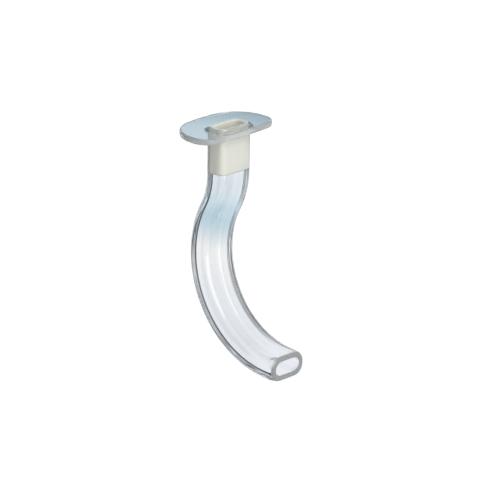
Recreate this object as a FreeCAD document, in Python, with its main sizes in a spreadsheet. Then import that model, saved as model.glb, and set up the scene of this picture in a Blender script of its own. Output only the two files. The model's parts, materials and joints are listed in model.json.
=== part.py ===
import FreeCAD, Part
import math
import os
import MeshPart
import Sketcher

# Oropharyngeal airway, millimetres and degrees.
# Each body is drawn about the bite axis: +Z comes out of the flange's outer face, whose
# plane is z = 0, +X is the hollow side of the curve, and Y runs along the lips.
# At the end both bodies are laid on their side, as the airway comes to rest.

V = FreeCAD.Vector
SHEET = "Sizes"
CONTACT = 1e-6
FLUSH = 1e-3
CHORD = 0.02
FACET_TURN = 0.2
MAX_ROLLS = 6
FAR = 10

SIZES = (
    ("flange_length", 30.8, "flange along the lips"),
    ("flange_thickness", 1.8, "flange plate"),
    ("flange_front", 6.05, "bite axis to the flange edge on the hollow side"),
    ("flange_back", 11.75, "bite axis to the flange edge on the back"),
    ("flange_front_corner", 5.0, "corner radius on the hollow side"),
    ("flange_back_corner", 11.0, "corner radius on the back"),
    ("flange_front_crown", 120.0, "radius of the bowed edge on the hollow side"),
    ("flange_back_crown", 57.0, "radius of the bowed edge on the back"),
    ("flange_round", 0.5, "rounding of the flange's outer rim"),
    ("flange_bevel", 0.3, "bevel of the flange's rim on the tube's side"),
    ("flange_root", 1.0, "fillet between flange and tube"),
    ("collar_height", 0.6, "raised collar round the mouth"),
    ("collar_bevel", 0.2, "bevel of the collar's outer edge"),
    ("bite_length", 12.2, "straight tube between flange and first bend"),
    ("tube_width", 13.3, "outer width of the tube, across"),
    ("tube_depth", 7.6, "outer depth of the tube, front to back"),
    ("tube_corner", 2.4, "outer corner radius of the tube"),
    ("wall", 1.65, "wall of the clear tube"),
    ("bore_bevel", 0.75, "bevel in the four corners of the bore"),
    ("neck_radius", 23.2, "centreline radius of the backward bend"),
    ("neck_angle", 28.4, "turn of the backward bend"),
    ("curve_radius", 29.1, "centreline radius of the main curve"),
    ("tip_angle", 90.0, "direction of the tip from the bite axis"),
    ("tip_straight", 2.3, "straight end of the tube"),
    ("tip_corner", 3.3, "outer corner radius of the tube at the tip"),
    ("tip_round", 0.7, "rounding of the tip's outer edge"),
    ("tip_lead", 0.3, "bevel of the tip's inner edge"),
    ("block_length", 14.0, "bite block, from the collar's rim to its seat"),
    ("block_wall", 1.0, "wall of the bite block"),
    ("block_mouth", 0.3, "bevel of the bite block's mouth"),
    ("block_lead", 0.3, "lead-in chamfer at the bite block's far end"),
    ("block_gap", 0.04, "clearance between bite block and socket"),
)
SIZE = {name: value for name, value, note in SIZES}

BORE_DEPTH = f"{SHEET}.tube_depth - 2 * {SHEET}.wall"
BORE_WIDTH = f"{SHEET}.tube_width - 2 * {SHEET}.wall"
BLOCK_DEPTH = f"{BORE_DEPTH} + 2 * {SHEET}.block_wall"
BLOCK_WIDTH = f"{BORE_WIDTH} + 2 * {SHEET}.block_wall"
BLOCK_CORNER = f"{SHEET}.tube_corner - {SHEET}.wall + {SHEET}.block_wall"


def make_sheet(doc):
    sheet = doc.addObject("Spreadsheet::Sheet", SHEET)
    for row, (name, value, note) in enumerate(SIZES, start=1):
        sheet.set(f"A{row}", name)
        sheet.set(f"B{row}", str(value))
        sheet.set(f"C{row}", note)
        sheet.setAlias(f"B{row}", name)
    doc.recompute()


def new_body(doc, name):
    body = doc.addObject("PartDesign::Body", name)
    body.Label = name
    return body


def new_sketch(body, name, role, height="0"):
    """Sketch on an origin plane of its body, lifted along that plane's normal."""
    sketch = body.newObject("Sketcher::SketchObject", name)
    plane = next(item for item in body.Origin.OriginFeatures if item.Role == role)
    sketch.AttachmentSupport = [(plane, "")]
    sketch.MapMode = "FlatFace"
    sketch.setExpression(".AttachmentOffset.Base.z", height)
    return sketch


def bind(sketch, name, constraint, expression):
    """Adds a sized constraint, names it and ties it to the sheet."""
    index = sketch.addConstraint(constraint)
    sketch.renameConstraint(index, name)
    sketch.setExpression(f"Constraints.{name}", expression)


def value_of(expression):
    """The expression's number, for the first shape of a sketch before it is solved."""
    doc = FreeCAD.ActiveDocument
    return float(doc.getObject(SHEET).evalExpression(expression.replace(f"{SHEET}.", "")))


def box_corners(depth, width, cut):
    """Ends of the four sides of a slot about the origin whose corners are cut back."""
    x = depth / 2
    y = width / 2
    return (
        (V(x, cut - y, 0), V(x, y - cut, 0)),
        (V(x - cut, y, 0), V(cut - x, y, 0)),
        (V(-x, y - cut, 0), V(-x, cut - y, 0)),
        (V(cut - x, -y, 0), V(x - cut, -y, 0)),
    )


def square_slot(sketch, front, left, back, right, depth, width):
    """Squares the four sides of a slot and sizes it about the sketch's origin."""
    for line in (front, back):
        sketch.addConstraint(Sketcher.Constraint("Vertical", line))
    for line in (left, right):
        sketch.addConstraint(Sketcher.Constraint("Horizontal", line))
    sketch.addConstraint(Sketcher.Constraint("Symmetric", front, 1, back, 1, -1, 1))
    bind(sketch, "depth", Sketcher.Constraint("DistanceX", back, 1, front, 1, value_of(depth)),
         depth)
    bind(sketch, "width", Sketcher.Constraint("DistanceY", right, 1, left, 1, value_of(width)),
         width)


def draw_rounded(sketch, depth, width, corner):
    """Slot with round corners, depth along the sketch's x and width along its y."""
    radius = value_of(corner)
    sides = box_corners(value_of(depth), value_of(width), radius)
    quarter = math.pi / 2
    for turn, (start, end) in enumerate(sides):
        sketch.addGeometry(Part.LineSegment(start, end), False)
        inward = V(-math.cos(turn * quarter), -math.sin(turn * quarter), 0)
        circle = Part.Circle(end + inward * radius, V(0, 0, 1), radius)
        sketch.addGeometry(Part.ArcOfCircle(circle, turn * quarter, (turn + 1) * quarter), False)
    front, left_arc, left, back_arc, back, right_arc, right, front_arc = range(8)
    for this in range(8):
        following = (this + 1) % 8
        sketch.addConstraint(Sketcher.Constraint("Tangent", this, 2, following, 1))
    for arc in (back_arc, right_arc, front_arc):
        sketch.addConstraint(Sketcher.Constraint("Equal", left_arc, arc))
    square_slot(sketch, front, left, back, right, depth, width)
    bind(sketch, "corner", Sketcher.Constraint("Radius", left_arc, radius), corner)


def draw_bevelled(sketch, depth, width, bevel):
    """Slot with bevelled corners, depth along the sketch's x and width along its y."""
    sides = box_corners(value_of(depth), value_of(width), value_of(bevel))
    for turn, (start, end) in enumerate(sides):
        sketch.addGeometry(Part.LineSegment(start, end), False)
        sketch.addGeometry(Part.LineSegment(end, sides[(turn + 1) % 4][0]), False)
    front, left_cut, left, back_cut, back, right_cut, right, front_cut = range(8)
    for this in range(8):
        following = (this + 1) % 8
        sketch.addConstraint(Sketcher.Constraint("Coincident", this, 2, following, 1))
    square_slot(sketch, front, left, back, right, depth, width)
    for turn, cut in enumerate((left_cut, back_cut, right_cut, front_cut)):
        start = sides[turn][1]
        end = sides[(turn + 1) % 4][0]
        for axis, kind in enumerate(("DistanceX", "DistanceY")):
            low, high = (1, 2) if start[axis] < end[axis] else (2, 1)
            size = Sketcher.Constraint(kind, cut, low, cut, high, value_of(bevel))
            bind(sketch, f"bevel_{axis}_{turn}", size, bevel)


def new_section(body, name, draw, size, corner):
    """Section of the tube or of what fills it, in the plane of the collar's rim."""
    sketch = new_sketch(body, name, "XY_Plane", f"{SHEET}.collar_height")
    draw(sketch, *size, corner)
    return sketch


def new_end_section(body, name, path, share, size, corner):
    """Round-cornered section square to the path's straight end, at a share of its length."""
    sketch = body.newObject("Sketcher::SketchObject", name)
    sketch.AttachmentSupport = [(path, f"Edge{len(path.Shape.Edges)}")]
    sketch.MapMode = "NormalToEdge"
    sketch.MapPathParameter = share
    sketch.AttachmentOffset = FreeCAD.Placement(V(), FreeCAD.Rotation(V(0, 0, 1), 90))
    draw_rounded(sketch, *size, corner)
    return sketch


def tangent_corner(crown, centre_x, radius, half, side):
    """First shape of one flange corner: its centre and its two tangent points."""
    y = half - radius
    reach = math.sqrt((crown - radius) ** 2 - y ** 2)
    centre = V(centre_x + side * reach, y, 0)
    on_end = V(centre.x, half, 0)
    along = (centre - V(centre_x, 0, 0)).normalize()
    on_crown = V(centre_x, 0, 0) + along * crown
    return centre, on_end, on_crown


def draw_flange(sketch):
    """Flange outline: two bowed long edges, two straight ends and four round corners."""
    half = SIZE["flange_length"] / 2
    crown_front = SIZE["flange_front_crown"]
    crown_back = SIZE["flange_back_crown"]
    r_front = SIZE["flange_front_corner"]
    r_back = SIZE["flange_back_corner"]
    axis_front = SIZE["flange_front"] - crown_front
    axis_back = crown_back - SIZE["flange_back"]
    front_c, front_end, front_tip = tangent_corner(crown_front, axis_front, r_front, half, 1)
    back_c, back_end, back_tip = tangent_corner(crown_back, axis_back, r_back, half, -1)
    normal = V(0, 0, 1)

    def mirrored(point):
        return V(point.x, -point.y, 0)

    def arc(centre, radius, start, end):
        first = math.atan2(start.y - centre.y, start.x - centre.x)
        last = math.atan2(end.y - centre.y, end.x - centre.x)
        if last < first:
            last += 2 * math.pi
        circle = Part.Circle(centre, normal, radius)
        sketch.addGeometry(Part.ArcOfCircle(circle, first, last), False)

    arc(V(axis_front, 0, 0), crown_front, mirrored(front_tip), front_tip)
    arc(front_c, r_front, front_tip, front_end)
    sketch.addGeometry(Part.LineSegment(front_end, back_end), False)
    arc(back_c, r_back, back_end, back_tip)
    arc(V(axis_back, 0, 0), crown_back, back_tip, mirrored(back_tip))
    arc(mirrored(back_c), r_back, mirrored(back_tip), mirrored(back_end))
    sketch.addGeometry(Part.LineSegment(mirrored(back_end), mirrored(front_end)), False)
    arc(mirrored(front_c), r_front, mirrored(front_end), mirrored(front_tip))
    front, corner_a, end_a, corner_b, back, corner_c, end_b, corner_d = range(8)
    for this in range(8):
        following = (this + 1) % 8
        sketch.addConstraint(Sketcher.Constraint("Tangent", this, 2, following, 1))
    for line in (end_a, end_b):
        sketch.addConstraint(Sketcher.Constraint("Horizontal", line))
    sketch.addConstraint(Sketcher.Constraint("Equal", corner_a, corner_d))
    sketch.addConstraint(Sketcher.Constraint("Equal", corner_b, corner_c))
    for crown in (front, back):
        sketch.addConstraint(Sketcher.Constraint("PointOnObject", crown, 3, -1))
    bind(sketch, "half", Sketcher.Constraint("DistanceY", -1, 1, end_a, 1, half),
         f"{SHEET}.flange_length / 2")
    bind(sketch, "other_half", Sketcher.Constraint("DistanceY", end_b, 1, -1, 1, half),
         f"{SHEET}.flange_length / 2")
    bind(sketch, "front_crown", Sketcher.Constraint("Radius", front, crown_front),
         f"{SHEET}.flange_front_crown")
    bind(sketch, "back_crown", Sketcher.Constraint("Radius", back, crown_back),
         f"{SHEET}.flange_back_crown")
    bind(sketch, "front_corner", Sketcher.Constraint("Radius", corner_a, r_front),
         f"{SHEET}.flange_front_corner")
    bind(sketch, "back_corner", Sketcher.Constraint("Radius", corner_b, r_back),
         f"{SHEET}.flange_back_corner")
    bind(sketch, "front_centre", Sketcher.Constraint("DistanceX", front, 3, -1, 1, -axis_front),
         f"{SHEET}.flange_front_crown - {SHEET}.flange_front")
    bind(sketch, "back_centre", Sketcher.Constraint("DistanceX", -1, 1, back, 3, axis_back),
         f"{SHEET}.flange_back_crown - {SHEET}.flange_back")


def draw_path(sketch):
    """Centreline from the collar's rim: bite part, backward bend, main curve, straight end.

    Returns the tip's place and the direction in which it points."""
    rim = V(0, SIZE["collar_height"], 0)
    start = V(0, -SIZE["flange_thickness"] - SIZE["bite_length"], 0)
    neck = SIZE["neck_radius"]
    curve = SIZE["curve_radius"]
    turn = math.radians(SIZE["neck_angle"])
    aim = math.radians(SIZE["tip_angle"])
    out = V(math.cos(turn), -math.sin(turn), 0)
    neck_centre = start - V(neck, 0, 0)
    curve_centre = neck_centre + out * (neck + curve)
    curve_end = curve_centre - V(math.cos(aim), math.sin(aim), 0) * curve
    tip = curve_end + V(math.sin(aim), -math.cos(aim), 0) * SIZE["tip_straight"]
    normal = V(0, 0, 1)
    bite = sketch.addGeometry(Part.LineSegment(rim, start), False)
    bend = Part.ArcOfCircle(Part.Circle(neck_centre, normal, neck), -turn, 0)
    bend = sketch.addGeometry(bend, False)
    main = Part.ArcOfCircle(Part.Circle(curve_centre, normal, curve), math.pi - turn,
                            math.pi + aim)
    main = sketch.addGeometry(main, False)
    end = sketch.addGeometry(Part.LineSegment(curve_end, tip), False)
    sketch.addConstraint(Sketcher.Constraint("PointOnObject", bite, 1, -2))
    sketch.addConstraint(Sketcher.Constraint("Vertical", bite))
    sketch.addConstraint(Sketcher.Constraint("Tangent", bite, 2, bend, 2))
    sketch.addConstraint(Sketcher.Constraint("Tangent", bend, 1, main, 1))
    sketch.addConstraint(Sketcher.Constraint("Tangent", main, 2, end, 1))
    bind(sketch, "rim", Sketcher.Constraint("DistanceY", -1, 1, bite, 1, rim.y),
         f"{SHEET}.collar_height")
    bind(sketch, "bite", Sketcher.Constraint("DistanceY", bite, 2, -1, 1, -start.y),
         f"{SHEET}.flange_thickness + {SHEET}.bite_length")
    bind(sketch, "neck", Sketcher.Constraint("Radius", bend, neck), f"{SHEET}.neck_radius")
    bind(sketch, "curve", Sketcher.Constraint("Radius", main, curve), f"{SHEET}.curve_radius")
    bind(sketch, "turn", Sketcher.Constraint("Angle", bend, turn), f"{SHEET}.neck_angle * 1 deg")
    bind(sketch, "aim", Sketcher.Constraint("Angle", main, turn + aim),
         f"({SHEET}.neck_angle + {SHEET}.tip_angle) * 1 deg")
    bind(sketch, "straight", Sketcher.Constraint("Distance", end, SIZE["tip_straight"]),
         f"{SHEET}.tip_straight")
    return V(tip.x, 0, tip.y), V(math.sin(aim), 0, -math.cos(aim))


def add_pad(body, name, sketch, length):
    """Pads a sketch downwards, towards the patient."""
    pad = body.newObject("PartDesign::Pad", name)
    pad.Profile = sketch
    pad.Reversed = True
    pad.setExpression("Length", length)
    return pad


def add_pocket(body, name, sketch, length):
    """Cuts a sketch downwards, from the mouth towards the patient."""
    pocket = body.newObject("PartDesign::Pocket", name)
    pocket.Profile = sketch
    pocket.setExpression("Length", length)
    return pocket


def add_sweep(body, kind, name, section, path, pieces):
    """Sweeps a section along the first pieces of the path, square to the path's plane."""
    sweep = body.newObject(kind, name)
    sweep.Profile = section
    sweep.Spine = (path, [f"Edge{number}" for number in range(1, pieces + 1)])
    sweep.Mode = "Binormal"
    sweep.Binormal = V(0, 1, 0)
    return sweep


def add_tip(body, path, size, corner, tip_corner):
    """Runs the tube on along the path's straight end while its corners grow rounder."""
    start = new_end_section(body, "TubeEndSection", path, 0, size, corner)
    end = new_end_section(body, "TipSection", path, 1, size, tip_corner)
    loft = body.newObject("PartDesign::AdditiveLoft", "Tip")
    loft.Profile = start
    loft.Sections = [end]
    loft.Ruled = True
    return loft


def add_edge_feature(body, kind, name, base, keep, size_property, expression):
    """Fillet or chamfer on the edges of the feature before it that pass a test."""
    edges = [f"Edge{index}" for index, edge in enumerate(base.Shape.Edges, start=1) if keep(edge)]
    if not edges:
        raise RuntimeError(f"{name} finds no edge")
    feature = body.newObject(kind, name)
    feature.Base = (base, edges)
    feature.setExpression(size_property, expression)
    return feature


def lies_at(edge, height):
    box = edge.BoundBox
    return abs(box.ZMin - height) < FLUSH and abs(box.ZMax - height) < FLUSH


def near_axis(edge, depth, width):
    """True for an edge inside a slot of this size about the bite axis."""
    box = edge.BoundBox
    return (max(-box.XMin, box.XMax) < depth / 2 + FLUSH
            and max(-box.YMin, box.YMax) < width / 2 + FLUSH)


def make_airway_body(doc):
    """One clear moulding: flange, tube with its collar, bore and bite block's socket."""
    body = new_body(doc, "airway_body")
    rim = SIZE["collar_height"]
    under = -SIZE["flange_thickness"]
    tube_size = (f"{SHEET}.tube_depth", f"{SHEET}.tube_width")
    tube_corner = f"{SHEET}.tube_corner"
    bore_size = (BORE_DEPTH, BORE_WIDTH)

    outline = new_sketch(body, "FlangeOutline", "XY_Plane")
    draw_flange(outline)
    plate = add_pad(body, "FlangePlate", outline, f"{SHEET}.flange_thickness")
    doc.recompute()
    rounded = add_edge_feature(body, "PartDesign::Fillet", "FlangeRim", plate,
                               lambda edge: lies_at(edge, 0), "Radius", f"{SHEET}.flange_round")
    doc.recompute()
    add_edge_feature(body, "PartDesign::Chamfer", "FlangeBevel", rounded,
                     lambda edge: lies_at(edge, under), "Size", f"{SHEET}.flange_bevel")

    path = new_sketch(body, "Centreline", "XZ_Plane")
    tip, ahead = draw_path(path)
    section = new_section(body, "TubeSection", draw_rounded, tube_size, tube_corner)
    doc.recompute()
    pieces = len(path.Shape.Edges)
    add_sweep(body, "PartDesign::AdditivePipe", "Tube", section, path, pieces - 1)
    doc.recompute()
    tube = add_tip(body, path, tube_size, tube_corner, f"{SHEET}.tip_corner")
    doc.recompute()

    def on_tube_at(height):
        depth, width = (value_of(size) for size in tube_size)
        return lambda edge: lies_at(edge, height) and near_axis(edge, depth, width)

    root = add_edge_feature(body, "PartDesign::Fillet", "FlangeRoot", tube, on_tube_at(under),
                            "Radius", f"{SHEET}.flange_root")
    doc.recompute()
    collar = add_edge_feature(body, "PartDesign::Chamfer", "CollarRim", root, on_tube_at(rim),
                              "Size", f"{SHEET}.collar_bevel")
    doc.recompute()

    def on_tip(edge):
        return all(abs(ahead.dot(vertex.Point - tip)) < FLUSH for vertex in edge.Vertexes)

    add_edge_feature(body, "PartDesign::Fillet", "TipRim", collar, on_tip,
                     "Radius", f"{SHEET}.tip_round")
    bore = new_section(body, "BoreSection", draw_bevelled, bore_size, f"{SHEET}.bore_bevel")
    doc.recompute()
    add_sweep(body, "PartDesign::SubtractivePipe", "Bore", bore, path, pieces)
    fit = f" + 2 * {SHEET}.block_gap"
    socket = new_section(body, "SocketSection", draw_rounded, (BLOCK_DEPTH + fit, BLOCK_WIDTH + fit),
                         f"{BLOCK_CORNER} + {SHEET}.block_gap")
    pocket = add_pocket(body, "BlockSocket", socket, f"{SHEET}.block_length + {SHEET}.block_gap")
    doc.recompute()

    def on_tip_bore(edge):
        depth, width = (value_of(size) for size in bore_size)
        height = ahead.cross(V(0, 1, 0))
        return on_tip(edge) and all(abs(vertex.Point.y) < width / 2 + FLUSH
                                    and abs(height.dot(vertex.Point - tip)) < depth / 2 + FLUSH
                                    for vertex in edge.Vertexes)

    add_edge_feature(body, "PartDesign::Chamfer", "TipBoreRim", pocket, on_tip_bore,
                     "Size", f"{SHEET}.tip_lead")
    doc.recompute()
    return body


def make_bite_block(doc):
    """Rigid sleeve that fills the socket; its bore runs on into the tube's."""
    body = new_body(doc, "bite_block")
    rim = SIZE["collar_height"]
    foot = rim - SIZE["block_length"]
    outer = new_section(body, "BlockSection", draw_rounded, (BLOCK_DEPTH, BLOCK_WIDTH),
                        BLOCK_CORNER)
    sleeve = add_pad(body, "BlockSleeve", outer, f"{SHEET}.block_length")
    doc.recompute()
    add_edge_feature(body, "PartDesign::Chamfer", "BlockLead", sleeve,
                     lambda edge: lies_at(edge, foot), "Size", f"{SHEET}.block_lead")
    inner = new_section(body, "BlockBoreSection", draw_bevelled, (BORE_DEPTH, BORE_WIDTH),
                        f"{SHEET}.bore_bevel")
    bore = add_pocket(body, "BlockBore", inner, f"{SHEET}.block_length")
    doc.recompute()
    depth = value_of(BORE_DEPTH)
    width = value_of(BORE_WIDTH)
    add_edge_feature(body, "PartDesign::Chamfer", "BlockMouth", bore,
                     lambda edge: lies_at(edge, rim) and near_axis(edge, depth, width),
                     "Size", f"{SHEET}.block_mouth")
    doc.recompute()
    return body


def surface_points(shape):
    mesh = MeshPart.meshFromShape(Shape=shape, LinearDeflection=CHORD, AngularDeflection=FACET_TURN,
                                  Relative=False)
    return mesh.Topology[0]


def resting_turn(shape, points):
    """Rotation that lays the solid on the three points it rests on, +Y side down.

    The support plane is the face of the solid's hull below its centre of mass. It is found
    by rolling: a triangle of hull points under the centre takes in the lowest point outside
    its plane until no point is left below it."""
    centre = V()
    for solid in shape.Solids:
        centre += solid.CenterOfMass * (solid.Volume / shape.Volume)
    turn = FreeCAD.Rotation(V(1, 0, 0), -90)
    for roll in range(MAX_ROLLS):
        cloud = [turn.multVec(point - centre) for point in points]
        down = support_normal(cloud)
        if down.getAngle(V(0, 0, 1)) < 1e-6:
            break
        turn = FreeCAD.Rotation(down, V(0, 0, 1)).multiply(turn)
    return turn


def holds_origin(a, b, c):
    """True if the vertical through the centre of mass meets the triangle a, b, c."""
    signs = [first.x * second.y - first.y * second.x
             for first, second in ((a, b), (b, c), (c, a))]
    return all(sign >= 0 for sign in signs) or all(sign <= 0 for sign in signs)


def support_normal(cloud):
    """Upward normal of the hull face that the vertical through the cloud's origin meets first."""
    reach = FAR * max(point.Length for point in cloud)
    corners = [V(reach * math.cos(angle), reach * math.sin(angle), reach)
               for angle in (0, 2 * math.pi / 3, 4 * math.pi / 3)]
    while True:
        normal = (corners[1] - corners[0]).cross(corners[2] - corners[0]).normalize()
        if normal.z < 0:
            normal = -normal
        lowest = min(cloud, key=normal.dot)
        if normal.dot(lowest) > normal.dot(corners[0]) - CONTACT:
            return normal
        trials = (corners[:index] + [lowest] + corners[index + 1:] for index in range(3))
        corners = next(trial for trial in trials if holds_origin(*trial))


def lay_down(bodies):
    """Turns every body to the resting pose, with the origin under the middle of the box."""
    whole = Part.makeCompound([body.Shape for body in bodies])
    surface = surface_points(whole)
    turn = resting_turn(whole, surface)
    along = turn.multVec(V(0, 0, 1))
    yaw = FreeCAD.Rotation(V(0, 0, 1), -math.degrees(math.atan2(along.y, along.x)))
    turn = yaw.multiply(turn)
    points = [turn.multVec(point) for point in surface]
    low = V(*(min(point[axis] for point in points) for axis in range(3)))
    high = V(*(max(point[axis] for point in points) for axis in range(3)))
    shift = V(-(low.x + high.x) / 2, -(low.y + high.y) / 2, -low.z)
    for body in bodies:
        body.Placement = FreeCAD.Placement(shift, turn)


def check_document(doc, bodies):
    for item in doc.Objects:
        if "Invalid" in item.State or "Error" in item.State:
            raise RuntimeError(f"{item.Name} failed: {item.State}")
    for body in bodies:
        if body.Shape.isNull() or not body.Shape.isValid() or len(body.Shape.Solids) != 1:
            raise RuntimeError(f"{body.Label} is not one valid solid")


def main():
    doc = FreeCAD.newDocument("OropharyngealAirway")
    make_sheet(doc)
    bodies = [make_airway_body(doc), make_bite_block(doc)]
    check_document(doc, bodies)
    lay_down(bodies)
    doc.recompute()
    check_document(doc, bodies)
    os.makedirs("parts", exist_ok=True)
    for body in bodies:
        body.Shape.exportStep(f"parts/{body.Label}.step")
        print(body.Label, round(body.Shape.Volume, 2), body.Placement)


main()
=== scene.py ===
import json
import math

import bmesh
import bpy
from mathutils import Matrix, Vector


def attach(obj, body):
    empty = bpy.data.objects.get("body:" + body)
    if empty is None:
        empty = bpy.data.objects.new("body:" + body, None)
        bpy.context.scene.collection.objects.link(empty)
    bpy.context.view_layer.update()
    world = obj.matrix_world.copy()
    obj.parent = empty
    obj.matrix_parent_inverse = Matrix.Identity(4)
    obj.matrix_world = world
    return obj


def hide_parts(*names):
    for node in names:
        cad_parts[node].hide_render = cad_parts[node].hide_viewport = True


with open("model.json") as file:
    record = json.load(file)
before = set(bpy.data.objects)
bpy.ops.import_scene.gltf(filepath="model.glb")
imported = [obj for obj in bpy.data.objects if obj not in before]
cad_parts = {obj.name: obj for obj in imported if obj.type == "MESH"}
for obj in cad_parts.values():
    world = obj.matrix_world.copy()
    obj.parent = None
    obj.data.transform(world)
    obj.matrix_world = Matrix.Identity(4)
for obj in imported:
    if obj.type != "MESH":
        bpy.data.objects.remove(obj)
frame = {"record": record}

# Oropharyngeal airway: a clear moulded tube with a flange, and a white bite block in its mouth.
# Shapes are drawn in millimetres about the bite axis, as in the part's source: +Z comes out of
# the flange's outer face (z = 0), +X is the hollow side of the curve and Y runs along the lips.
# object_frame() finds where the frame's resting pose puts them.

MM = 0.001
TINY = 1e-9
ACROSS = Vector((0, 1, 0))

FLANGE_HALF = 15.4
FLANGE_THICKNESS = 1.8
FLANGE_FRONT, FRONT_CROWN, FRONT_CORNER = 6.05, 120.0, 5.0
FLANGE_BACK, BACK_CROWN, BACK_CORNER = 11.75, 57.0, 11.0
RIM_ROUND = 0.5
RIM_UNDER = 0.3
ROOT = 1.0

# The collar: a hollow foot of this reach and height, then its rounded rim.
COLLAR_HEIGHT = 0.6
COLLAR_ROOT = 1.6
COLLAR_STEP = 0.35
COLLAR_ROUND = 0.25

# CROWN is how far the ends of a slot's flat sides are drawn in.
TUBE_DEPTH, TUBE_WIDTH, TUBE_CORNER = 7.6, 13.3, 2.4
WALL = 1.65
BORE_DEPTH = TUBE_DEPTH - 2 * WALL
BORE_WIDTH = TUBE_WIDTH - 2 * WALL
BORE_CORNER = 1.35
CROWN = 0.18
BITE_END = -14.0
NECK_RADIUS, NECK_TURN = 23.2, math.radians(-28.4)
CURVE_RADIUS, CURVE_TURN = 29.1, math.radians(118.4)
TIP_STRAIGHT = 2.3
TIP_CORNER = 3.3
TIP_BORE_CORNER = 2.0
TIP_ROUND = 0.7
TIP_BORE_ROUND = 0.4
TIP_STEPS = 6

# BOND is how far the clear wall reaches into the block's wall, SEAT_STEP the step at its foot.
BLOCK_LENGTH = 14.0
BLOCK_WALL = 1.0
BLOCK_CORNER = TUBE_CORNER - WALL + BLOCK_WALL
BLOCK_FOOT = COLLAR_HEIGHT - BLOCK_LENGTH
BLOCK_MOUTH = 0.45
BLOCK_LEAD = 0.3
BLOCK_GAP = 0.04
SEAT_STEP = BLOCK_WALL / 4
BOND = 0.3

# Where the frame's two mounts lie in the drawing.
OUTER_MOUNT = Vector((-1.0, -10.5, 0))
LIP_MOUNT = Vector((-8.2, 0, -FLANGE_THICKNESS))

# Fineness of the skins. The spreads place rings across the flange's underside and its top.
WIDE_STEPS = 28
NARROW_STEPS = 12
CORNER_STEPS = 10
ROUND_STEPS = 6
BEND_STEP = math.radians(1.5)
SHARP_EDGE = math.radians(40)
UNDER_SPREAD = (0.06, 0.3, 0.6, 0.9, 0.98)
TOP_SPREAD = (0.02, 0.1, 0.4, 0.7, 0.94)
RINGS_TO_RIM = ROUND_STEPS + 1 + len(UNDER_SPREAD)
RIM_BANDS = 2 * ROUND_STEPS + 1

# Material slots of the airway body, after the clear one.
TIP_FINISH = 1
RIM_FINISH = 2

# Where the photo was taken from, about a point on the bite axis level with the curve.
VIEW_POINT = Vector((0, 0, -35))
VIEW_TURN = math.radians(42.86)
VIEW_RISE = math.radians(19.53)
VIEW_ROLL = math.radians(0.98)
VIEW_DISTANCE = 1490.0
VIEW_WIDTH = 146.5
VIEW_RIGHT = 6.63
VIEW_DOWN = 3.00
VIEW_CLIP = (0.05, 20)
SENSOR = 36.0

# The tint and density belong to the inside of the plastic, the pale colour to its shadow.
CLEAR_IOR = 1.5
CLEAR_ROUGHNESS = 0.03
CLEAR_SHADOW = (0.95, 0.97, 0.98, 1)
PLASTIC_TINT = (0.4, 0.5, 0.55, 1)
PLASTIC_DENSITY = 16.0
SATIN = 0.7
TIP_ROUGHNESS, TIP_COLOUR = 0.3, (0.80, 0.82, 0.80, 1)
RIM_ROUGHNESS, RIM_COLOUR = 0.25, (0.97, 0.98, 0.97, 1)
BLOCK_ROUGHNESS, BLOCK_COLOUR = 0.4, (0.8, 0.79, 0.72, 1)
WHITE = (1, 1, 1, 1)

MOST_BOUNCES = 32

# All tints are stops: position, red, green, blue. The window tints are what the plastic shows
# through itself of the floor along the object's length: painted reflections of a blue-grey room
# and painted shade. The mirror tints are what it shows in reflections: painted reflections too.
FLOOR_SIZE = 3.0
FLOOR_WHITE = 0.8
FLOOR_GLOW = 0.56
PAINTED_TINT_RANGE = (-0.04, 0.06)
# Painted reflections and painted shade, seen only through the plastic.
PAINTED_SHADE_AND_REFLECTION_TINTS = (
    (0.06, 0.86, 0.88, 0.93),
    (0.20, 0.92, 0.94, 0.97),
    (0.33, 1.00, 1.00, 1.00),
    (0.45, 0.48, 0.68, 0.78),
    (0.53, 0.80, 0.88, 0.93),
    (0.60, 0.90, 0.95, 0.97),
    (0.66, 0.62, 0.74, 0.80),
    (0.76, 0.36, 0.48, 0.55),
)
# Painted reflections: the floor glows with these tints only in reflections.
PAINTED_REFLECTION_TINTS = (
    (0.40, 0.90, 0.92, 0.94),
    (0.80, 0.40, 0.52, 0.60),
)

# The room from straight down (0) to straight up (1), on the side of FRONT and on the far side.
# Its dark stops draw the dark lines along the plastic's edges.
FRONT = Vector((0.3, -0.95, 0))
FRONT_RANGE = (-0.1, 0.5)
FRONT_TINTS = (
    (0.09, 0.80, 0.82, 0.84),
    (0.15, 0.02, 0.03, 0.04),
    (0.30, 0.03, 0.04, 0.05),
    (0.42, 0.98, 0.98, 0.98),
    (0.90, 0.98, 0.98, 0.98),
    (0.94, 0.03, 0.04, 0.05),
)
BACK_TINTS = (
    (0.03, 0.04, 0.05, 0.06),
    (0.055, 0.98, 0.98, 0.98),
    (0.19, 0.96, 0.97, 0.98),
    (0.24, 0.02, 0.03, 0.04),
    (0.60, 0.02, 0.03, 0.04),
    (0.72, 0.98, 0.98, 0.98),
    (0.86, 0.90, 0.91, 0.92),
    (0.91, 0.03, 0.04, 0.05),
)

KEY_TURN = math.radians(15)
KEY_RISE = math.radians(20)
KEY_DISTANCE = 0.9
KEY_SIZE = (1.3, 0.8)
KEY_POWER = 5.6


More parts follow.
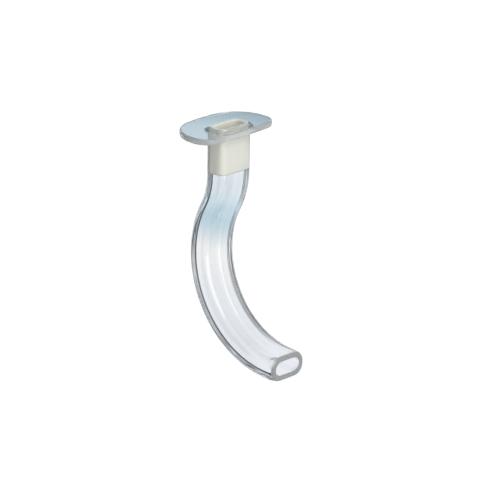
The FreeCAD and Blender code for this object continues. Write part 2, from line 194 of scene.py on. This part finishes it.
def object_frame():
    """The matrix that lays the drawing down as the frame lies, found from the two mounts."""
    mounts = {mount["name"]: mount for mount in frame["record"]["mounts"]}
    outer_drawn = OUTER_MOUNT * MM
    lip_drawn = LIP_MOUNT * MM
    outer = Vector(mounts["outer_face"]["pos_m"])
    lip = Vector(mounts["lip_face"]["pos_m"])
    up = Vector(mounts["outer_face"]["axis"]).normalized()
    drawn = outer_drawn - lip_drawn
    level = outer - lip
    level -= up * level.dot(up)
    hollow = Matrix.Rotation(-math.atan2(drawn.y, drawn.x), 3, up) @ level.normalized()
    turn = Matrix((hollow, up.cross(hollow), up)).transposed()
    return Matrix.Translation(outer - turn @ outer_drawn) @ turn.to_4x4()


def away_at(turn, rise):
    """Direction away from the object, turned from -Y towards +X and then raised."""
    return Vector((math.sin(turn) * math.cos(rise), -math.cos(turn) * math.cos(rise),
                   math.sin(rise)))


def arc(steps=ROUND_STEPS):
    """Sine and rise of a quarter turn in even steps: (0, 0) to (1, 1)."""
    turns = [step / steps * math.pi / 2 for step in range(steps + 1)]
    return [(math.sin(turn), 1 - math.cos(turn)) for turn in turns]


def slot(depth, width, corner):
    """Rounded rectangle with faintly crowned sides, as points in the plane, anticlockwise."""
    x = depth / 2 - corner
    y = width / 2 - corner
    centres = ((x, y), (-x, y), (-x, -y), (x, -y))
    sides = (NARROW_STEPS, WIDE_STEPS, NARROW_STEPS, WIDE_STEPS)
    points = []
    for quarter in range(4):
        centre = Vector(centres[quarter])
        for step in range(CORNER_STEPS + 1):
            turn = (quarter + step / CORNER_STEPS) * math.pi / 2
            points.append(centre + corner * Vector((math.cos(turn), math.sin(turn))))
        start = points[-1]
        move = Vector(centres[(quarter + 1) % 4]) - centre
        points += [start + move * step / sides[quarter] for step in range(1, sides[quarter])]
    return [crowned(point, depth / 2, width / 2) for point in points]


def crowned(point, half_depth, half_width):
    """Draws the ends of each side in, so that light slides softly over the moulding."""
    from_middle_x = (point.x / half_depth) ** 2
    from_middle_y = (point.y / half_width) ** 2
    return Vector((point.x * (1 - CROWN * from_middle_y / half_depth),
                   point.y * (1 - CROWN * from_middle_x / half_width)))


def tube_slot(grow=0.0, corner=TUBE_CORNER):
    return slot(TUBE_DEPTH + 2 * grow, TUBE_WIDTH + 2 * grow, corner + grow)


def bore_slot(grow=0.0, corner=BORE_CORNER):
    return slot(BORE_DEPTH + 2 * grow, BORE_WIDTH + 2 * grow, corner + grow)


def block_slot(grow=0.0):
    return slot(BORE_DEPTH + 2 * (BLOCK_WALL + grow), BORE_WIDTH + 2 * (BLOCK_WALL + grow),
                BLOCK_CORNER + grow)


def corner_centre(crown, crown_x, radius, side):
    """Centre of the arc that joins a bowed long edge of the flange to its straight end."""
    y = FLANGE_HALF - radius
    return Vector((crown_x + side * math.sqrt((crown - radius) ** 2 - y ** 2), y))


def flange_point(direction):
    """Where a ray from the axis leaves the flange's outline, and the outward direction there."""
    ray = Vector((direction.x, abs(direction.y))).normalized()
    front_x = FLANGE_FRONT - FRONT_CROWN
    back_x = BACK_CROWN - FLANGE_BACK
    front = corner_centre(FRONT_CROWN, front_x, FRONT_CORNER, 1)
    back = corner_centre(BACK_CROWN, back_x, BACK_CORNER, -1)
    front_turn = math.atan2(front.y, front.x - front_x)
    back_turn = math.atan2(back.y, back.x - back_x)
    arcs = (
        (Vector((front_x, 0)), FRONT_CROWN, 0, front_turn),
        (front, FRONT_CORNER, front_turn, math.pi / 2),
        (back, BACK_CORNER, math.pi / 2, back_turn),
        (Vector((back_x, 0)), BACK_CROWN, back_turn, math.pi),
    )
    point = ray * (FLANGE_HALF / max(ray.y, TINY))
    outward = Vector((0, 1))
    for centre, radius, first, last in arcs:
        along = centre.dot(ray)
        inside = along ** 2 - centre.length_squared + radius ** 2
        if inside < 0:
            continue
        hit = ray * (along + math.sqrt(inside))
        facing = math.atan2(hit.y - centre.y, hit.x - centre.x)
        if first <= facing <= last:
            point = hit
            outward = (hit - centre) / radius
    side = math.copysign(1, direction.y)
    return Vector((point.x, point.y * side)), Vector((outward.x, outward.y * side))


def flange_slot(inset=0.0):
    """The flange's outline drawn in by inset, point for point with the slots."""
    rim = [flange_point(point) for point in tube_slot()]
    return [point - outward * inset for point, outward in rim]


def between(first, last, share):
    return [a.lerp(b, share) for a, b in zip(first, last)]


def flat_ring(points, height):
    return [Vector((point.x, point.y, height)) for point in points]


def outward_at(turn):
    """Direction of the hollow side at a station."""
    return Vector((math.cos(turn), 0, math.sin(turn)))


def ahead_at(turn):
    """Direction of the tip at a station."""
    return Vector((math.sin(turn), 0, -math.cos(turn)))


def centreline():
    """Stations (place, turn) from the end of the bite part to the start of the straight end."""
    stations = [(Vector((0, 0, BITE_END)), 0.0)]
    for radius, turn in ((NECK_RADIUS, NECK_TURN), (CURVE_RADIUS, CURVE_TURN)):
        place, start = stations[-1]
        reach = math.copysign(radius, turn)
        centre = place + reach * outward_at(start)
        steps = math.ceil(abs(turn) / BEND_STEP)
        for step in range(1, steps + 1):
            facing = start + turn * step / steps
            stations.append((centre - reach * outward_at(facing), facing))
    return stations


def station_ring(points, place, turn):
    return [place + outward_at(turn) * point.x + ACROSS * point.y for point in points]


def loft(name, rings, finishes):
    """Skins closed rings of equal count, the last joined to the first, as one smooth solid.

    finishes gives the material slot of each band between two rings that isn't of the first."""
    count = len(rings[0])
    vertices = [to_frame @ (point * MM) for ring in rings for point in ring]
    faces = []
    finish = []
    for index in range(len(rings)):
        here = index * count
        there = (index + 1) % len(rings) * count
        for step in range(count):
            after = (step + 1) % count
            faces.append((here + step, here + after, there + after, there + step))
            finish.append(finishes.get(index, 0))
    mesh = bpy.data.meshes.new(name)
    mesh.from_pydata(vertices, [], faces)
    mesh.polygons.foreach_set("material_index", finish)
    shape = bmesh.new()
    shape.from_mesh(mesh)
    bmesh.ops.recalc_face_normals(shape, faces=shape.faces)
    shape.to_mesh(mesh)
    shape.free()
    mesh.polygons.foreach_set("use_smooth", [True] * len(mesh.polygons))
    mesh.set_sharp_from_angle(angle=SHARP_EDGE)
    item = bpy.data.objects.new(name, mesh)
    bpy.context.scene.collection.objects.link(item)
    return item


def tip_rings(stations):
    """Straight end, outside and in, whose corners grow rounder up to its rounded edges."""
    start, turn = stations[-1]
    ahead = ahead_at(turn)
    outer = []
    inner = []
    for step in range(1, TIP_STEPS):
        share = step / TIP_STEPS
        where = start + ahead * (TIP_STRAIGHT - TIP_ROUND) * share
        corner = TUBE_CORNER + (TIP_CORNER - TUBE_CORNER) * share
        outer.append(station_ring(tube_slot(corner=corner), where, turn))
        corner = BORE_CORNER + (TIP_BORE_CORNER - BORE_CORNER) * share
        inner.append(station_ring(bore_slot(corner=corner), where, turn))
    end = start + ahead * TIP_STRAIGHT
    for sine, rise in arc():
        where = end - ahead * TIP_ROUND * (1 - sine)
        outer.append(station_ring(tube_slot(-TIP_ROUND * rise, TIP_CORNER), where, turn))
        where = end - ahead * TIP_BORE_ROUND * (1 - sine)
        inner.append(station_ring(bore_slot(TIP_BORE_ROUND * rise, TIP_BORE_CORNER), where, turn))
    return outer, inner


def flange_rings():
    """From the tube's wall below the flange, round the rim, to the collar's mouth."""
    under = -FLANGE_THICKNESS
    rings = [flat_ring(tube_slot(ROOT * rise), under - ROOT * (1 - sine)) for sine, rise in arc()]
    root = tube_slot(ROOT)
    rim = flange_slot(RIM_UNDER)
    rings += [flat_ring(between(root, rim, share), under) for share in UNDER_SPREAD]
    rings += [flat_ring(flange_slot(RIM_UNDER * (1 - sine)), under + RIM_UNDER * rise)
              for sine, rise in arc()]
    rings += [flat_ring(flange_slot(RIM_ROUND * rise), -RIM_ROUND * (1 - sine))
              for sine, rise in arc()]
    rim = flange_slot(RIM_ROUND)
    foot = tube_slot(COLLAR_ROOT)
    rings += [flat_ring(between(rim, foot, share), 0) for share in TOP_SPREAD]
    rings += [flat_ring(tube_slot(COLLAR_ROOT * (1 - sine)), COLLAR_STEP * rise)
              for sine, rise in arc()]
    rings += [flat_ring(tube_slot(-COLLAR_ROUND * rise), COLLAR_HEIGHT - COLLAR_ROUND * (1 - sine))
              for sine, rise in arc()]
    return rings


def socket_rings():
    """The seat of the bite block. Its wall lies inside the block's, as on a piece moulded in."""
    return [
        flat_ring(block_slot(BLOCK_GAP), COLLAR_HEIGHT),
        flat_ring(block_slot(BLOCK_GAP), COLLAR_HEIGHT - BOND),
        flat_ring(block_slot(-BOND), COLLAR_HEIGHT - BOND),
        flat_ring(block_slot(-BOND), BLOCK_FOOT + BOND),
        flat_ring(bore_slot(SEAT_STEP), BLOCK_FOOT + BOND),
        flat_ring(bore_slot(SEAT_STEP), BLOCK_FOOT - BLOCK_GAP),
        flat_ring(bore_slot(), BLOCK_FOOT - BLOCK_GAP),
    ]


def make_airway_body():
    """One skin: up the outside from the tip, over the flange and collar, and down the lumen."""
    stations = centreline()
    outer_tip, inner_tip = tip_rings(stations)
    rings = list(reversed(outer_tip))
    rings += [station_ring(tube_slot(), *station) for station in reversed(stations)]
    rim = len(rings) + RINGS_TO_RIM
    rings += flange_rings()
    rings += socket_rings()
    rings += [station_ring(bore_slot(), *station) for station in stations]
    rings += inner_tip
    end_face = len(rings) - 1
    tip_bands = (end_face, *range(ROUND_STEPS), *range(end_face - ROUND_STEPS, end_face))
    finishes = dict.fromkeys(tip_bands, TIP_FINISH)
    finishes.update(dict.fromkeys(range(rim, rim + RIM_BANDS), RIM_FINISH))
    return loft("airway_shell", rings, finishes)


def make_bite_block():
    """A sleeve with a rounded mouth and a lead-in at its foot."""
    rings = [flat_ring(bore_slot(BLOCK_MOUTH * (1 - sine)), COLLAR_HEIGHT - BLOCK_MOUTH * rise)
             for sine, rise in arc()]
    rings += [
        flat_ring(bore_slot(), BLOCK_FOOT),
        flat_ring(block_slot(-BLOCK_LEAD), BLOCK_FOOT),
        flat_ring(block_slot(), BLOCK_FOOT + BLOCK_LEAD),
        flat_ring(block_slot(), COLLAR_HEIGHT),
    ]
    return loft("bite_sleeve", rings, {})


def new_material(name):
    material = bpy.data.materials.new(name)
    material.use_nodes = True
    nodes = material.node_tree.nodes
    nodes.clear()
    return material, nodes, material.node_tree.links


def mix_shaders(nodes, links, share, first, second):
    mix = nodes.new("ShaderNodeMixShader")
    links.new(share, mix.inputs["Fac"])
    links.new(first, mix.inputs[1])
    links.new(second, mix.inputs[2])
    return mix.outputs["Shader"]


def ramp(nodes, links, value, stops):
    """A colour for each value from 0 to 1, eased between its stops (value, red, green, blue)."""
    node = nodes.new("ShaderNodeValToRGB")
    node.color_ramp.interpolation = "EASE"
    elements = node.color_ramp.elements
    while len(elements) < len(stops):
        elements.new(1.0)
    for element, (position, *colour) in zip(elements, stops):
        element.position = position
        element.color = (*colour, 1)
    links.new(value, node.inputs["Fac"])
    return node.outputs["Color"]


def scaled(nodes, links, value, low, high):
    """value brought from low..high to 0..1."""
    node = nodes.new("ShaderNodeMapRange")
    node.inputs["From Min"].default_value = low
    node.inputs["From Max"].default_value = high
    links.new(value, node.inputs["Value"])
    return node.outputs["Result"]


def plastic_shader(nodes, roughness, colour):
    shader = nodes.new("ShaderNodeBsdfPrincipled")
    shader.inputs["Base Color"].default_value = colour
    shader.inputs["Roughness"].default_value = roughness
    return shader


def clear_plastic(name, roughness, clearness=1.0, colour=WHITE):
    """Soft plastic, grey-blue where light runs far inside it. Lamps reach what it encloses."""
    material, nodes, links = new_material(name)
    shader = plastic_shader(nodes, roughness, colour)
    shader.inputs["IOR"].default_value = CLEAR_IOR
    shader.inputs["Transmission Weight"].default_value = clearness
    passing = nodes.new("ShaderNodeBsdfTransparent")
    passing.inputs["Color"].default_value = CLEAR_SHADOW
    path = nodes.new("ShaderNodeLightPath")
    surface = mix_shaders(nodes, links, path.outputs["Is Shadow Ray"], shader.outputs["BSDF"],
                          passing.outputs["BSDF"])
    absorb = nodes.new("ShaderNodeVolumeAbsorption")
    absorb.inputs["Color"].default_value = PLASTIC_TINT
    absorb.inputs["Density"].default_value = PLASTIC_DENSITY
    output = nodes.new("ShaderNodeOutputMaterial")
    links.new(surface, output.inputs["Surface"])
    links.new(absorb.outputs["Volume"], output.inputs["Volume"])
    return material


def white_plastic():
    material, nodes, links = new_material("white_plastic")
    shader = plastic_shader(nodes, BLOCK_ROUGHNESS, BLOCK_COLOUR)
    output = nodes.new("ShaderNodeOutputMaterial")
    links.new(shader.outputs["BSDF"], output.inputs["Surface"])
    return material


def floor_material():
    """White that keeps the object's shadow.

    Through the plastic it shows the backdrop below it, with painted reflections and painted shade
    tinted along the object's length. In reflections it glows with painted reflection tints."""
    material, nodes, links = new_material("floor_white")
    matt = nodes.new("ShaderNodeBsdfDiffuse")
    matt.inputs["Color"].default_value = (FLOOR_WHITE, FLOOR_WHITE, FLOOR_WHITE, 1)
    glow = nodes.new("ShaderNodeEmission")
    glow.inputs["Strength"].default_value = FLOOR_GLOW
    white = nodes.new("ShaderNodeAddShader")
    links.new(matt.outputs["BSDF"], white.inputs[0])
    links.new(glow.outputs["Emission"], white.inputs[1])

    spot = nodes.new("ShaderNodeTexCoord")
    split = nodes.new("ShaderNodeSeparateXYZ")
    links.new(spot.outputs["Object"], split.inputs["Vector"])
    along = scaled(nodes, links, split.outputs["X"], *PAINTED_TINT_RANGE)
    # Painted reflections and painted shade: tints by place along the object, which only rays
    # through the plastic see.
    painted_window = nodes.new("ShaderNodeBsdfTransparent")
    links.new(ramp(nodes, links, along, PAINTED_SHADE_AND_REFLECTION_TINTS), painted_window.inputs["Color"])
    # Painted reflection: the floor glows with tints by place along the object, seen only in
    # reflections.
    painted_reflection = nodes.new("ShaderNodeEmission")
    links.new(ramp(nodes, links, along, PAINTED_REFLECTION_TINTS), painted_reflection.inputs["Color"])

    path = nodes.new("ShaderNodeLightPath")
    surface = mix_shaders(nodes, links, path.outputs["Is Glossy Ray"], matt.outputs["BSDF"],
                          painted_reflection.outputs["Emission"])
    surface = mix_shaders(nodes, links, path.outputs["Is Transmission Ray"], surface,
                          painted_window.outputs["BSDF"])
    surface = mix_shaders(nodes, links, path.outputs["Is Camera Ray"], surface,
                          white.outputs["Shader"])
    output = nodes.new("ShaderNodeOutputMaterial")
    links.new(surface, output.inputs["Surface"])
    return material


def make_floor():
    half = FLOOR_SIZE / 2
    mesh = bpy.data.meshes.new("floor")
    corners = [(-half, -half, 0), (half, -half, 0), (half, half, 0), (-half, half, 0)]
    mesh.from_pydata(corners, [], [(0, 1, 2, 3)])
    mesh.materials.append(floor_material())
    floor = bpy.data.objects.new("floor", mesh)
    bpy.context.scene.collection.objects.link(floor)


def make_world():
    """White behind the object. The plastic shows a room that is darker on its far side."""
    world = bpy.data.worlds.new("room")
    bpy.context.scene.world = world
    world.use_nodes = True
    nodes = world.node_tree.nodes
    links = world.node_tree.links
    nodes.clear()
    spot = nodes.new("ShaderNodeTexCoord")
    split = nodes.new("ShaderNodeSeparateXYZ")
    links.new(spot.outputs["Generated"], split.inputs["Vector"])
    height = scaled(nodes, links, split.outputs["Z"], -1, 1)
    toward = nodes.new("ShaderNodeVectorMath")
    toward.operation = "DOT_PRODUCT"
    toward.inputs[1].default_value = FRONT.normalized()
    links.new(spot.outputs["Generated"], toward.inputs[0])
    back = nodes.new("ShaderNodeBackground")
    links.new(ramp(nodes, links, height, BACK_TINTS), back.inputs["Color"])
    front = nodes.new("ShaderNodeBackground")
    links.new(ramp(nodes, links, height, FRONT_TINTS), front.inputs["Color"])
    room = mix_shaders(nodes, links, scaled(nodes, links, toward.outputs["Value"], *FRONT_RANGE),
                       back.outputs["Background"], front.outputs["Background"])
    white = nodes.new("ShaderNodeBackground")
    white.inputs["Color"].default_value = WHITE
    path = nodes.new("ShaderNodeLightPath")
    sky = mix_shaders(nodes, links, path.outputs["Is Camera Ray"], room,
                      white.outputs["Background"])
    output = nodes.new("ShaderNodeOutputWorld")
    links.new(sky, output.inputs["Surface"])


def add_key_lamp():
    """One large soft lamp that faces the object."""
    away = away_at(KEY_TURN, KEY_RISE)
    light = bpy.data.lights.new("key_lamp", "AREA")
    light.shape = "RECTANGLE"
    light.size, light.size_y = KEY_SIZE
    light.energy = KEY_POWER
    lamp = bpy.data.objects.new("key_lamp", light)
    lamp.location = away * KEY_DISTANCE
    lamp.rotation_euler = away.to_track_quat("Z", "Y").to_euler()
    bpy.context.scene.collection.objects.link(lamp)


def follow_light():
    """Follows light that runs along inside the flange and the walls until it comes out."""
    cycles = bpy.context.scene.cycles
    cycles.max_bounces = MOST_BOUNCES
    cycles.glossy_bounces = MOST_BOUNCES
    cycles.transmission_bounces = MOST_BOUNCES


def add_camera():
    away = away_at(VIEW_TURN, VIEW_RISE)
    right = Vector((math.cos(VIEW_TURN), math.sin(VIEW_TURN), 0))
    right = Matrix.Rotation(VIEW_ROLL, 3, away) @ right
    up = away.cross(right)
    where = VIEW_POINT + away * VIEW_DISTANCE + right * VIEW_RIGHT - up * VIEW_DOWN
    drawn = Matrix((right, up, away)).transposed().to_4x4()
    drawn.translation = where * MM
    data = bpy.data.cameras.new("photo_camera")
    data.sensor_width = SENSOR
    data.lens = SENSOR * VIEW_DISTANCE / VIEW_WIDTH
    data.clip_start, data.clip_end = VIEW_CLIP
    camera = bpy.data.objects.new("photo_camera", data)
    camera.matrix_world = to_frame @ drawn
    bpy.context.scene.collection.objects.link(camera)
    bpy.context.scene.camera = camera


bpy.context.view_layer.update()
to_frame = object_frame()

airway = make_airway_body()
airway.data.materials.append(clear_plastic("clear_pvc", CLEAR_ROUGHNESS))
airway.data.materials.append(clear_plastic("clear_pvc_tip", TIP_ROUGHNESS, SATIN, TIP_COLOUR))
airway.data.materials.append(clear_plastic("clear_pvc_rim", RIM_ROUGHNESS, SATIN, RIM_COLOUR))
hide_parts("airway_body")
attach(airway, "root")

block = make_bite_block()
block.data.materials.append(white_plastic())
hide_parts("bite_block")
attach(block, "root")

make_floor()
make_world()
add_key_lamp()
add_camera()
bpy.context.scene.view_settings.view_transform = "Standard"
follow_light()
